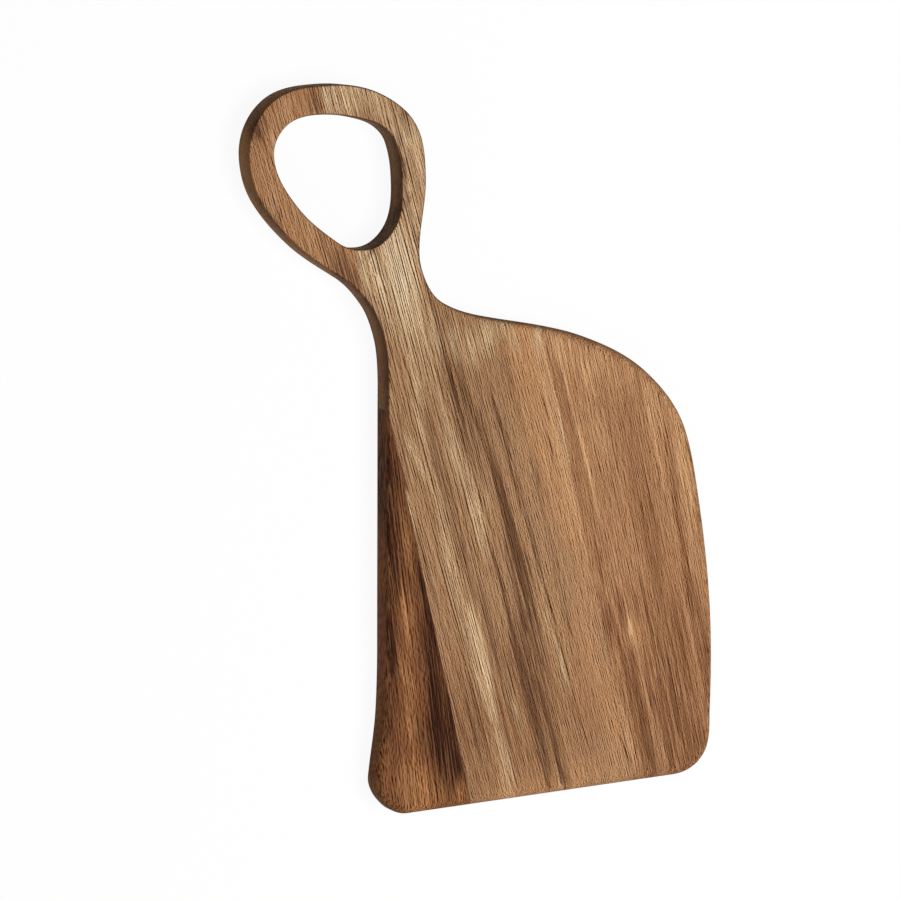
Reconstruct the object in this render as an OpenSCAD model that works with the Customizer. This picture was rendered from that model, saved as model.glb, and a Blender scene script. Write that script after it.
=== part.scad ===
// Paddle serving board with a finger loop, edge-glued from three planks of acacia.
// It lies flat: +X runs along the foot edge, +Y towards the loop, +Z out of the serving face.
// The left plank survives as two pieces, the left side of the loop and the heel.

/* [Board] */
// Thickness of the planks
board_t = 16; // [12:0.5:24]

/* [Blade] */
// Width of the blade from the tip of the heel to the right edge
blade_w = 215.4; // [180:0.1:260]
// Length of the blade from the foot edge to the root of the neck
blade_l = 275.2; // [240:0.1:320]
// Rounding of the blade's edge on the serving side
blade_edge_r = 6; // [2:0.5:7]
// Rounding of the blade's edge on the underside
under_edge_r = 3.5; // [1:0.5:4.5]

/* [Neck] */
// How far the left side of the neck stands in from the tip of the heel
neck_inset = 18.3; // [10:0.1:26]
// Width of the neck between its two hollows
neck_w = 36; // [30:0.5:44]
// Length of the neck from the blade to the loop
neck_l = 30; // [24:0.5:40]

/* [Loop] */
// Outside width of the loop
loop_w = 104.6; // [92:0.1:120]
// Outside length of the loop
loop_l = 105; // [92:0.5:125]
// How far the loop reaches out to the left of the neck
loop_overhang = 76.3; // [64:0.1:88]
// Width of the wood at the sides of the hole
rim_w = 15; // [10:0.5:20]
// Width of the wood under the foot of the hole
rim_foot_w = 13.7; // [10:0.1:20]
// Width of the wood over the top of the hole
rim_top_w = 16; // [11:0.5:22]
// Rounding of the edges of the loop and the neck
loop_edge_r = 1.2; // [0.6:0.1:3]

/* [Planks] */
// Angle in degrees between the grain and the long axis of the board
grain_skew = 10; // [4:0.5:14]
// How far the neck is cut in past the left glue line, which parts the loop's side from the heel
neck_cut_in = 4.9; // [3:0.1:9]
// Width of the middle plank across its grain
plank_w = 101.5; // [80:0.5:115]
// Thickness of the cured glue between two planks
glue_t = 0.15; // [0.1:0.05:0.3]

/* [Hidden] */

// Degrees of turn that one straight step of the outline may take
step_turn = 6;
// Fewest steps between two knots of the outline
least_steps = 4;
// Steps in the quarter round of an edge
rim_steps = 4;
// How far a cut runs past a face
overrun = 1;

// Knots of the outline, counterclockwise: [x share, y share, heading in degrees, softness share].
// A softness of 0 takes the crisp edge of the loop and 1 the soft edge of the blade.

// Shares of the blade's width and length, from the foot edge up the right side to the shoulder
blade_shares = [
    [0.872, 0, 0, 1],
    [0.975, 0.051, 68, 1],
    [0.989, 0.133, 85, 1],
    [1, 0.315, 90, 1],
    [0.977, 0.581, 97, 1],
    [0.944, 0.726, 107, 1],
    [0.833, 0.855, 136.5, 1],
    [0.649, 0.941, 157.5, 1],
    [0.384, 0.997, 165.5, 0.5],
];
// Shares of the neck's width and length, up the hollow on its right
neck_right_shares = [
    [0.977, 0.344, 147, 0.1],
    [0.671, 0.906, 108, 0],
    [0.624, 1.349, 87, 0],
];
// Shares of the loop's width and length, round the outside of the loop
loop_shares = [
    [1, 0.481, 89, 0],
    [0.961, 0.752, 116, 0],
    [0.787, 0.920, 150, 0],
    [0.457, 1, 180, 0],
    [0.148, 0.936, 215, 0],
    [0, 0.652, 270, 0],
    [0.062, 0.406, 300, 0],
    [0.244, 0.179, 315, 0],
];
// Shares of the neck's width and length, down the hollow on its left
neck_left_shares = [
    [-0.627, 0.915, 325, 0],
    [-0.246, 0.409, 304, 0],
    [-0.045, -0.217, 283, 0],
    [0, -0.817, 270, 0],
];
// Shares of the neck's inset and the blade's length, down the left side and round the heel
heel_shares = [
    [0.945, 0.831, 267, 0.1],
    [0.568, 0.361, 267, 0.4],
    [0.394, 0.218, 263.5, 0.7],
    [0.028, 0.083, 260.5, 1],
    [0.432, 0.019, 314, 1],
    [1.080, 0, 0, 1],
];
// Shares of the hole's width and length, round the hole
hole_shares = [
    [0.346, 1, 180, 0],
    [0.087, 0.918, 224, 0],
    [0, 0.729, 270, 0],
    [0.172, 0.341, 306.5, 0],
    [0.477, 0.061, 323, 0],
    [0.690, 0, 0, 0],
    [0.904, 0.110, 50, 0],
    [1, 0.503, 90, 0],
    [0.963, 0.758, 108, 0],
    [0.893, 0.857, 137, 0],
    [0.721, 0.942, 164, 0],
];

// Where each group of knots starts and the size that its shares follow
neck_at = [neck_inset, blade_l];
neck_size = [neck_w, neck_l];
loop_at = [neck_inset - loop_overhang, blade_l + neck_l];
loop_size = [loop_w, loop_l];
hole_at = [loop_at.x + rim_w, loop_at.y + rim_foot_w];
hole_size = [loop_w - 2 * rim_w, loop_l - rim_foot_w - rim_top_w];

function placed(shares, at, size) =
    [for (k = shares) [at.x + k[0] * size.x, at.y + k[1] * size.y, k[2], k[3]]];

outline_knots = concat(
    placed(blade_shares, [0, 0], [blade_w, blade_l]),
    placed(neck_right_shares, neck_at, neck_size),
    placed(loop_shares, loop_at, loop_size),
    placed(neck_left_shares, neck_at, neck_size),
    placed(heel_shares, [0, 0], [neck_inset, blade_l])
);
hole_knots = placed(hole_shares, hole_at, hole_size);

// Smooth curve between two knots: a cubic whose handles give a round arc where the turn is even
function spot(k) = [k[0], k[1]];
function way(k) = [cos(k[2]), sin(k[2])];
function turn(a, b) = (b[2] - a[2]) - 360 * round((b[2] - a[2]) / 360);
function handle(a, b) = norm(spot(b) - spot(a)) / (3 * pow(cos(turn(a, b) / 4), 2));
function steps(a, b) = max(least_steps, ceil(abs(turn(a, b)) / step_turn));
function mix(a, b, u) = a * (1 - u) + b * u;
function right_of(v) = [v.y, -v.x] / norm(v);

// One step of the curve: [place, outward direction, softness share]
function curve_step(p, q, r, s, soft, u) =
    let (
        pq = mix(p, q, u),
        qr = mix(q, r, u),
        rs = mix(r, s, u),
        early = mix(pq, qr, u),
        late = mix(qr, rs, u)
    )
    [mix(early, late, u), right_of(late - early), soft];
function curve(a, b) =
    let (reach = handle(a, b), n = steps(a, b))
    [for (i = [0:n - 1]) curve_step(
        spot(a), spot(a) + reach * way(a), spot(b) - reach * way(b), spot(b),
        mix(a[3], b[3], i / n), i / n)];
function closed_path(knots) =
    [for (i = [0:len(knots) - 1]) each curve(knots[i], knots[(i + 1) % len(knots)])];

outline_path = closed_path(outline_knots);
hole_path = closed_path(hole_knots);

// Middle of the board's box, which becomes the origin
outline_x = [for (p = outline_path) p[0].x];
outline_y = [for (p = outline_path) p[0].y];
board_mid = [(min(outline_x) + max(outline_x)) / 2, (min(outline_y) + max(outline_y)) / 2, 0];
board_l = max(outline_y) - min(outline_y);

// Edge rounding at one step of a path
function top_r(p) = mix(loop_edge_r, blade_edge_r, p[2]);
function under_r(p) = mix(loop_edge_r, under_edge_r, p[2]);

// One ring of a rounded wall; way_in is 1 where the rounding draws the wall in and -1 where it flares
function ring_point(p, inset, z) = [p[0].x - inset * p[1].x, p[0].y - inset * p[1].y, z];
function under_ring(path, a, way_in) =
    [for (p = path) ring_point(p, way_in * under_r(p) * (1 - sin(a)), under_r(p) * (1 - cos(a)))];
function top_ring(path, a, way_in) =
    [for (p = path) ring_point(p, way_in * top_r(p) * (1 - sin(a)), board_t - top_r(p) * (1 - cos(a)))];
function lifted(ring, dz) = [for (p = ring) p + [0, 0, dz]];

// Rings of a wall from the underside to the serving face
function wall_rings(path, way_in) = [
    for (i = [0:rim_steps]) under_ring(path, 90 * i / rim_steps, way_in),
    for (i = [rim_steps:-1:0]) top_ring(path, 90 * i / rim_steps, way_in),
];

// Triangles that fill a flat bent outline, given counterclockwise, cut off one corner at a time
function corner(ring, ids, i) =
    [for (j = [-1:1]) let (p = ring[ids[(i + j + len(ids)) % len(ids)]]) [p.x, p.y]];
function beside(a, b, p) = cross(b - a, p - a);
function covers(c, p) = beside(c[0], c[1], p) > 0 && beside(c[1], c[2], p) > 0 && beside(c[2], c[0], p) > 0;
function is_ear(ring, ids, i) =
    let (c = corner(ring, ids, i))
    beside(c[0], c[1], c[2]) > 0 && len([for (k = ids) if (covers(c, [ring[k].x, ring[k].y])) k]) == 0;
function first_ear(ring, ids, i = 1) =
    i >= len(ids) || is_ear(ring, ids, i) ? i % len(ids) : first_ear(ring, ids, i + 1);
function filled(ring, ids) =
    len(ids) == 3 ? [ids] :
    let (n = len(ids), i = first_ear(ring, ids))
    concat(
        [[ids[(i + n - 1) % n], ids[i], ids[(i + 1) % n]]],
        filled(ring, [for (j = [1:n - 1]) ids[(i + j) % n]])
    );

// Solid through a stack of rings, closed by a flat face at each end
module ring_solid(rings) {
    n = len(rings[0]);
    last = len(rings) - 1;
    ids = [for (i = [0:n - 1]) i];
    walls = [
        for (j = [0:last - 1], i = ids)
            let (low = j * n, high = low + n, next = (i + 1) % n)
            each [[low + i, high + i, high + next], [low + i, high + next, low + next]]
    ];
    top = [for (t = filled(rings[last], ids)) [t[2], t[1], t[0]] + [1, 1, 1] * last * n];
    polyhedron(
        points = [for (r = rings) each r],
        faces = concat(walls, filled(rings[0], ids), top)
    );
}

// The whole outline with its hole, before the planks are told apart
module board_outline() {
    hole_rings = wall_rings(hole_path, -1);
    translate(-board_mid)
        difference() {
            ring_solid(wall_rings(outline_path, 1));
            ring_solid(concat(
                [lifted(hole_rings[0], -overrun)],
                hole_rings,
                [lifted(hole_rings[len(hole_rings) - 1], overrun)]
            ));
        }
}

// The waist, the last knot of the neck's left hollow: its height on the board, where the left
// glue line then meets the foot edge, and the heights along the grain of the waist and the hole
waist_share = neck_left_shares[len(neck_left_shares) - 1][1];
waist_y = neck_at.y + waist_share * neck_size.y;
glue_foot_x = neck_inset - neck_cut_in + waist_y * tan(grain_skew);
waist_at = waist_y / cos(grain_skew);
hole_mid_at = (hole_at.y + hole_size.y / 2) / cos(grain_skew);
// A length that reaches past the board from any place on it
past = 2 * board_l;

// The part of the board between two lines along the grain, measured from the left glue line,
// and between two heights along the grain
module strip(left, right, low = -past, high = past) {
    intersection() {
        board_outline();
        translate([glue_foot_x - board_mid.x, -board_mid.y, -overrun])
            rotate([0, 0, grain_skew])
                translate([left, low, 0])
                    cube([right - left, high - low, board_t + 2 * overrun]);
    }
}

// Left side of the loop, from the left plank
module loop_stave() {
    color("#a0734b")
        strip(-past, -glue_t / 2, low = waist_at);
}

// Middle plank: right side of the loop, neck and centre of the blade
module middle_stave() {
    color("#b0865c")
        strip(glue_t / 2, plank_w - glue_t / 2);
}

// Right plank
module right_stave() {
    color("#a07048")
        strip(plank_w + glue_t / 2, past);
}

// Heel, the lower end of the left plank
module heel_stave() {
    color("#5c3c26")
        strip(-past, -glue_t / 2, high = waist_at);
}

// Glue between the two pieces of the loop, over the hole
module loop_top_glue() {
    color("#c8a060")
        strip(-glue_t / 2, glue_t / 2, low = hole_mid_at);
}

// Glue between the two pieces of the loop, under the hole
module loop_neck_glue() {
    color("#c8a060")
        strip(-glue_t / 2, glue_t / 2, low = waist_at, high = hole_mid_at);
}

// Glue between the heel and the middle plank
module heel_glue() {
    color("#c8a060")
        strip(-glue_t / 2, glue_t / 2, high = waist_at);
}

// Glue between the middle and right planks
module right_glue() {
    color("#c8a060")
        strip(plank_w - glue_t / 2, plank_w + glue_t / 2);
}

loop_stave();
middle_stave();
right_stave();
heel_stave();
loop_top_glue();
loop_neck_glue();
heel_glue();
right_glue();
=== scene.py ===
"""Looks of the paddle serving board: four staves of oiled acacia, their glue lines and a plain studio."""

from collections import namedtuple
from math import ceil, cos, pi, radians, sin, tan

import bmesh
import bpy
from bpy.props import FloatProperty, FloatVectorProperty, PointerProperty
from bpy.types import Operator, Panel, PropertyGroup
from mathutils import Euler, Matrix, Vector


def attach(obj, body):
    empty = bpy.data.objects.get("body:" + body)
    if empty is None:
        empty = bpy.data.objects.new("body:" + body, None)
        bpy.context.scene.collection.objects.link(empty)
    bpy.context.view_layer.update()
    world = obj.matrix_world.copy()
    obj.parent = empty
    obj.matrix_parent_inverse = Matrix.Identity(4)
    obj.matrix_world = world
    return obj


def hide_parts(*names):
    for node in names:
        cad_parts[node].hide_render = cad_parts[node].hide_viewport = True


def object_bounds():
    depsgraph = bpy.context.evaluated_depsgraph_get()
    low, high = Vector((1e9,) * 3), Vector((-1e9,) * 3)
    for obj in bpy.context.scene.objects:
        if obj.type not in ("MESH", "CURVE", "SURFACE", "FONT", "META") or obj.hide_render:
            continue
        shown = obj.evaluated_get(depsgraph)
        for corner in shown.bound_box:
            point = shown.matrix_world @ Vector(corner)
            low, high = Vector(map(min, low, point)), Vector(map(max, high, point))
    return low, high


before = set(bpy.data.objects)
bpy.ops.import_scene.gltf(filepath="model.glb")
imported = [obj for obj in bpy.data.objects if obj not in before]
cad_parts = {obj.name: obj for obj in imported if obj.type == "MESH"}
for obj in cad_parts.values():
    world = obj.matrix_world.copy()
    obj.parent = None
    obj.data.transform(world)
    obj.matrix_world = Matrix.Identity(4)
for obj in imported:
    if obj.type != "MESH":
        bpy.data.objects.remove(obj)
CAD_LOW, CAD_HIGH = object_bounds()

bl_info = {
    "name": "Paddle Serving Board",
    "version": (1, 0, 0),
    "blender": (4, 5, 0),
    "location": "View3D > Sidebar > Board",
    "description": "Dresses the packed serving board in figured acacia and sets it in a studio",
    "category": "Object",
}

MM = 0.001
BLANK = "board_blank"

# A knot of an outline, a step along it, the lie of the grain, a streaky noise and a kind of fine stroke
Knot = namedtuple("Knot", "at heading soft")
Step = namedtuple("Step", "at out soft")
Grain = namedtuple("Grain", "foot across along")
Streak = namedtuple("Streak", "width run detail")
Stroke = namedtuple("Stroke", "width run apart")

# Finest steps of the outline and of the rounded edges
STEP_TURN = radians(2)
STEP_LENGTH = 3 * MM
RIM_STEPS = 8
# Strip of flat face kept beside a rounded edge, so that the shading of the edge ends there
FLAT_MARGIN = 0.6 * MM
# Corners closer than this to a saw cut count as on it
CUT_GAP = 1e-7
SMOOTH_ANGLE = radians(35)

# Knots of the outline, counterclockwise, as in the part's source:
# share across, share along, heading in degrees, softness (0 crisp edge of the loop, 1 soft edge of the blade)
BLADE_SHARES = [
    (0.872, 0, 0, 1),
    (0.975, 0.051, 68, 1),
    (0.989, 0.133, 85, 1),
    (1, 0.315, 90, 1),
    (0.977, 0.581, 97, 1),
    (0.944, 0.726, 107, 1),
    (0.833, 0.855, 136.5, 1),
    (0.649, 0.941, 157.5, 1),
    (0.384, 0.997, 165.5, 0.5),
]
NECK_RIGHT_SHARES = [
    (0.977, 0.344, 147, 0.1),
    (0.671, 0.906, 108, 0),
    (0.624, 1.349, 87, 0),
]
LOOP_SHARES = [
    (1, 0.481, 89, 0),
    (0.961, 0.752, 116, 0),
    (0.787, 0.920, 150, 0),
    (0.457, 1, 180, 0),
    (0.148, 0.936, 215, 0),
    (0, 0.652, 270, 0),
    (0.062, 0.406, 300, 0),
    (0.244, 0.179, 315, 0),
]
NECK_LEFT_SHARES = [
    (-0.627, 0.915, 325, 0),
    (-0.246, 0.409, 304, 0),
    (-0.045, -0.217, 283, 0),
    (0, -0.817, 270, 0),
]
HEEL_SHARES = [
    (0.945, 0.831, 267, 0.1),
    (0.568, 0.361, 267, 0.4),
    (0.394, 0.218, 263.5, 0.7),
    (0.028, 0.083, 260.5, 1),
    (0.432, 0.019, 314, 1),
    (1.080, 0, 0, 1),
]
HOLE_SHARES = [
    (0.346, 1, 180, 0),
    (0.087, 0.918, 224, 0),
    (0, 0.729, 270, 0),
    (0.172, 0.341, 306.5, 0),
    (0.477, 0.061, 323, 0),
    (0.690, 0, 0, 0),
    (0.904, 0.110, 50, 0),
    (1, 0.503, 90, 0),
    (0.963, 0.758, 108, 0),
    (0.893, 0.857, 137, 0),
    (0.721, 0.942, 164, 0),
]

# Marks in the wood, spindles along the grain, in mm and degrees:
# across from the left glue line, along from the foot edge, half width, half length, lean, strength
LOOP_DARK = [
    (-11, 315, 7, 20, 0, 1.2),
    (-2, 306, 4, 14, 0, 0.7),
    (-4, 408, 6, 14, 0, 0.8),
    (-42, 400, 5, 16, 0, 0.2),
    (-40, 408, 7, 14, 0, 0.8),
    (-38, 350, 2, 15, 0, 0.4),
    (-17, 335, 2.5, 16, -3, 0.3),
    # Along the loop's rounded outer edge: painted shade
    (-46.5, 360, 3, 34, 24, 0.6),
    (-6, 314, 8, 22, 0, 0.4),
    (-45, 404, 5, 12, 30, 0.6),
]
LOOP_PALE = [
    (-24, 404, 6, 14, 0, 0.7),
    (-33, 396, 5, 14, 0, 0.8),
    (-40, 365, 4, 30, 0, 0.5),
    (-30, 350, 3, 20, 0, 0.4),
    (-24, 341, 5, 18, 0, 0.6),
]
MIDDLE_WARM = [
    (92, 235, 20, 120, 0, 2),
    (97, 175, 9, 110, 0, 0.9),
    (93, 40, 13, 90, 0, 0.5),
    (23, 22, 7, 45, 0, 0.8),
    (80, 250, 10, 22, 0, 0.8),
    (82, 55, 10, 40, 0, 0.6),
    (45, -3, 45, 18, 0, 1.1),
    (98.5, 33, 4, 30, 0, 0.6),
    (100, 193, 4, 40, 0, 0.8),
]
MIDDLE_PALE = [
    (25, 306, 10, 38, 1, 2.5),
    (31, 312, 6, 30, 1, 0.9),
    (28, 284, 5, 28, 2, 0.6),
    (8, 314, 12, 24, 0, 1.3),
    (37, 268, 5, 24, 2, 0.8),
    (37, 330, 5, 26, 2, 0.3),
    (3, 411, 3, 12, 0, 0.8),
    (9, 406, 11, 16, 0, 0.9),
    (22, 408, 14, 14, 0, 0.7),
    (30, 399, 8, 14, 0, 0.6),
    (43, 365, 12, 50, 2, 0.9),
    (22.5, 80, 7.5, 40, 1, 1.4),
    (23.5, 31, 5.5, 60, -1.5, 0.4),
    (10.5, 202, 3, 24, 11, 0.8),
    (16, 217, 2.2, 30, 3, 0.5),
    (19.5, 243, 3, 25, 1, 0.6),
    (18, 175, 2.2, 36, 2, 0.5),
    (17, 130, 3, 36, 1, 0.8),
    (33, 218, 4, 30, 9, 0.4),
    (38, 184, 4.5, 30, 7, 0.4),
    (38.5, 158, 4.5, 30, 4, 0.9),
    (38.5, 46, 4, 28, 2, 0.4),
    (47, 259, 6, 14, 2, 0.8),
    (56, 252, 5, 16, 2, 0.8),
    (32, 197, 4, 26, 4, 0.5),
    (66, 256, 8, 14, 2, 1.2),
    (81.5, 252, 4, 14, 2, 0.9),
    (1.2, 176, 1.3, 22, 1, 1),
    (6, 113, 0.8, 8, 0, 1),
    (56.5, 3, 1.2, 16, -2, 0.8),
    (69.5, 93, 2.6, 24, 2, 0.8),
    (22, 291, 14, 40, 1, 0.9),
    (51, 368, 4, 30, 2, 0.6),
    (16.5, 402, 5, 10, 0, 0.5),
    (76, 260, 5, 10, 0, 0.8),
    (26.5, 251, 4, 22, 1, 0.5),
    (10, 288, 6, 26, 0, 0.6),
    (72, 62, 4, 22, 3, 0.5),
    (46.5, 166, 3, 20, 4, 0.4),
    (32.5, 257, 4, 18, 1, 0.5),
    (42, 382, 3.5, 16, 1, 0.6),
    (35.5, 333, 3, 16, 2, 0.4),
    (12, 309, 3, 14, 0, 0.4),
    (26.5, 14, 4, 24, -1, 0.5),
    (98, 195, 8, 70, 0, 0.25),
    (97, 247, 8, 18, 0, 0.3),
    (99.5, 193, 3.5, 26, 0, 0.5),
    (99.5, 249, 4, 12, 0, 0.5),
]
MIDDLE_SAP = [
    (24, 305, 8, 30, 1, 1.1),
    (13, 303, 4, 18, 0, 0.6),
    (32, 314, 4, 18, 1, 0.5),
    (6, 409, 6, 12, 0, 0.5),
]
MIDDLE_DARK = [
    (44, 228, 10, 62, 3.4, 0.45),
    (40.5, 225, 3, 40, 4, 0.7),
    (53.5, 202, 2.2, 28, 3, 1),
    (57, 156, 5.5, 42, 3, 1.7),
    (60, 122, 5, 40, 2, 1.8),
    (53.5, 133, 2.5, 26, 2, 1),
    (64, 207, 2.6, 26, 7, 1),
    (67.5, 171, 2.2, 30, 4, 0.35),
    (69.5, 131, 2.2, 26, 1.5, 0.9),
    (45, 126, 1.2, 32, 4.6, 1),
    (46, 103, 2.5, 28, 2, 0.8),
    (54, 96, 2.4, 25, 0, 0.8),
    (57, 100, 9, 55, 0, 0.8),
    (47, 58, 2.8, 50, 1.5, 1.5),
    (47.5, 18, 2.4, 36, 1, 1.5),
    (55.5, 61, 2.4, 40, 4, 1),
    (57.5, 20, 2.4, 40, 2, 1.5),
    (50.5, 41, 8, 60, 2, 0.8),
    (23, 185, 5, 60, 2.5, 0.7),
    (26.5, 134, 3, 30, 3, 0.8),
    (32, 101, 3.5, 30, 2, 0.8),
    (33, 71, 3, 40, 1, 0.5),
    (41.5, 66, 2.5, 25, 1, 0.6),
    (2.5, 212, 4, 30, 0, 0.9),
    (4, 145, 5, 52, 0, 0.4),
    (1.5, 40, 3, 35, 0, 0.6),
    (11.5, 46, 4, 40, 1, 0.6),
    (74, 226, 4.5, 42, 0, 0.35),
    (62, 82, 4, 26, 0, 0.8),
    (80, 172, 4, 30, 0, 0.4),
    (38.5, 311, 2, 40, 0, 0.2),
    (46, 389, 5, 14, 0, 0.8),
    (64, 52, 3, 30, 2, 0.6),
    (65, 121, 2.5, 20, 2, 0.6),
    # On the rounded right edge of the hole: painted shade
    (37.5, 362, 2.4, 30, 0, 0.8),
    (22, 331, 4, 30, -52, 0.9),
    (47.5, 8, 3, 18, 0, 0.7),
    (60, -3, 4, 14, 0, 0.6),
    (2.5, 194, 3, 20, 0, 0.6),
    (38.5, 275, 2.5, 26, 3, 0.3),
]
# Broad darkening of the middle plank towards the foot edge
MIDDLE_FOOT = [
    (35, 42, 70, 62, 0, 0.75),
]
MIDDLE_LINES = [
    (72, 98, 0.8, 18, 4, 3),
    (74, 62, 0.7, 26, 3.5, 2.6),
    (76.6, 20, 0.7, 32, 4, 2.2),
    (29.3, 60, 0.7, 80, -0.5, 1.2),
    (14, 103, 0.6, 14, 1, 1.2),
    (45.8, 115, 0.7, 22, 3.5, 1.6),
    (80.5, 84, 0.9, 10, 4, 1.8),
    (96.6, 77, 0.6, 8, 1, 1.3),
    (99.5, 2, 0.9, 14, 4, 1.8),
    (57.5, 118, 0.6, 12, 1, 1.3),
    (92.5, 208, 0.9, 14, 4, 2.4),
    (91, 186, 0.9, 12, 3, 2.6),
    (41, 242, 0.8, 22, 3, 2.4),
    (44.5, 236, 0.8, 22, 4, 2.4),
    (47.5, 226, 0.8, 26, 4, 2.8),
    (50.8, 206, 0.8, 28, 4, 2.6),
    (38.6, 208, 0.8, 24, 5, 2.4),
    (42.8, 172, 0.7, 24, 5, 2.2),
    (47, 188, 0.7, 22, 5, 2),
    (53.8, 182, 0.9, 22, 4, 2.6),
    (56, 155, 0.9, 22, 3, 2.4),
    (63, 222, 0.7, 24, 3, 2),
    (65.5, 172, 0.8, 30, 3, 2),
    (37.5, 286, 0.8, 22, 3, 1.8),
    (39.8, 270, 0.8, 22, 3, 2),
]
MIDDLE_OPEN = [
    (25, 331, 90, 120, 0, 1.2),
    (25, 150, 55, 190, 0, 0.8),
]
RIGHT_DARK = [
    (105.5, 200, 2, 60, 0, 0.4),
    (105, 145, 4, 40, 0, 0.25),
    (141, 160, 11, 70, 1, 0.4),
    (141, 95, 12, 60, 0, 0.5),
    (147, 138, 3, 30, 0, 0.6),
    (104.5, 78, 4.5, 22, 3, 0.9),
    (109, 60, 4, 34, 2, 0.9),
    (114, 82, 3.5, 18, 0, 1.2),
    (111.5, 25, 7, 50, 2, 1.1),
    (110, -5, 5, 26, 0, 1.3),
    (130, 72, 6, 34, 0, 0.9),
    (148, 48, 6, 46, 0, 0.9),
    (140, 50, 4, 34, 0, 0.6),
    (134, 15, 12, 55, 0, 0.9),
    # Broad darkening of the right plank towards the foot edge
    (130, -40, 90, 110, 0, 0.5),
    (160.5, 130, 3, 45, -2, 0.9),
    (159.5, 100, 3.5, 40, -2, 1),
    (157.8, 65, 2, 45, -2, 1.2),
    (121.5, 92, 3, 18, 0, 0.7),
    (132, 36, 4, 26, 0, 0.6),
    (124.5, 50, 3, 20, 0, 0.6),
    (159, 28, 3, 30, -3, 0.8),
    (164, 48, 4, 25, -4, 0.8),
    (115.5, 50, 2.5, 22, 1, 0.8),
    (124.5, 82, 3, 16, 0, 0.6),
    (157, 14, 3, 16, 0, 0.6),
    (148, -4, 5, 14, 0, 0.7),
    (105.5, 112, 3, 22, 0, 0.7),
    (162, 70, 3, 25, -3, 0.6),
    (122.5, 28, 3, 34, 1, 0.6),
    (116, 25, 2.5, 30, 1.5, 0.3),
    (104.5, 210, 3, 50, 2, 0.25),
]
RIGHT_PALE = [
    (108.8, 218, 1.8, 36, 2, 1.4),
    (111.2, 172, 2.2, 36, 3, 1.2),
    (113, 135, 1.5, 20, 2, 0.8),
    (112, 236, 10, 18, 0, 1),
    (124, 224, 7, 20, 0, 1),
    (134, 226, 6, 16, 0, 0.9),
    (120, 190, 8, 40, 0, 0.4),
    (126, 184, 4, 25, 0, 0.5),
    (118.5, 67, 2.2, 13, 3, 1.8),
    (119.6, 30, 1.2, 40, 1.5, 0.4),
    (122, -5, 1.2, 16, 4, 0.6),
    (156, 165, 2.2, 40, -2, 0.7),
    (158, 200, 5, 24, -6, 0.8),
    # On the rounded right edge: painted highlight
    (169.5, 146, 6, 72, -4, 1),
    (148, 214, 6, 16, 0, 0.6),
    (103, 12, 3, 40, 2.5, 0.7),
    # On the rounded right edge: painted highlight
    (173, 155, 5, 40, -3, 0.8),
    (104, 246, 4, 16, 0, 0.9),
    (139, 213, 6, 18, 0, 0.6),
    (127, 217, 5, 18, 0, 0.5),
    (160, 182, 4, 20, -3, 0.6),
    (166, 195, 4, 20, -5, 0.6),
]
RIGHT_LINES = [
    (139.5, 135, 0.6, 18, 0, 1.2),
    (141.5, 132, 0.5, 16, 0, 1.2),
    (150.5, 30, 0.5, 20, 0, 0.8),
    (162, 170, 0.6, 30, -2, 1),
    (157, 75, 0.8, 30, -2, 1.6),
    (108.6, 218, 1.3, 42, 2, -1),
    (111.3, 165, 1.3, 45, 3, -1),
    (119.4, 28, 1, 42, 1.5, -1),
    (118.2, 68, 2, 14, 3, -0.8),
    (160, 105, 2.5, 50, -3, 0.5),
]
HEEL_TAN = [
    (-5, 163, 4, 28, -2, 0.9),
    (-14, 118, 5, 28, -4, 0.85),
    (-21.5, 84, 5, 26, -4, 0.75),
    (-12, 90, 3, 20, -2, 0.5),
    (-31, 20, 13, 24, 0, 1.6),
    (-5, 10, 5, 12, 0, 0.6),
    (-17, 12, 8, 14, 0, 0.5),
    (-27, 55, 5, 22, -3, 0.8),
]
HEEL_DARK = [
    (-8, 205, 15, 75, -4, 0.8),
    (-1.5, 118, 4, 42, 0, 1.1),
    (-6, 80, 9, 45, 2, 1.3),
    (-8, 46, 12, 38, -2, 1.7),
    (-3, 26, 4, 14, 0, 0.6),
    (-16, 150, 5, 42, -9, 1.1),
    (-28, 100, 4, 45, -8, 1),
    (-38, 62, 4, 20, -6, 0.5),
    (-21, 46, 2, 18, 0, 0.6),
    (-11, 22, 4, 14, 0, 0.5),
    (-16, 186, 5, 26, -9, 0.7),
]

# Depth that a mark reaches into the wood, how far the growth rings lean per mm of depth, and how far
# the marks wander and fray across the grain, in mm
MARK_DEPTH = 45
RING_LEAN = 0.35
WANDER = 3
FRAY = 9
# How strongly pores, vessels, long fibre lines, growth bands, thin lines and the painted shade on routed
# edges tell; a thin line is dark, or pale where its strength is below zero
PORE = 1.15
VESSEL = 1.7
FIBRE_LINE = 3.0
BAND = 0.7
LINE = 0.35
EDGE = 1.3
# Darkest and palest level of a fibre, 1 being plain wood
DARKEST_FIBRE = 0.15
PALEST_FIBRE = 1.3
# How red, green and blue follow a fibre's level, so that dark fibres are redder
FIBRE_STAIN = (1, 1.32, 1.75)
# Fine strokes along the fibres, in mm: width, run along the fibres, and how far apart a stroke's dark side
# (pore and painted shade) and pale side (painted highlight) lie. They are about twice as coarse as real ones,
# so that they show
PORES = Stroke(0.4, 1.7, 0.58)
VESSELS = Stroke(0.41, 10, 0.6)
FIBRE_LINES = Stroke(0.45, 55, 0.68)
# Streaky noises: width across the fibres and run along them in mm, and detail
WANDER_NOISE = Streak(20, 130, 0)
FRAY_NOISE = Streak(1.5, 34, 3)
THREAD_NOISE = Streak(1.1, 60, 1)
LINE_NOISE = Streak(2.5, 40, 1)
BAND_NOISE = Streak(4, 150, 2)
NOISE_ROUGHNESS = 0.6
NOISE_MIDDLE = 0.5
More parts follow.
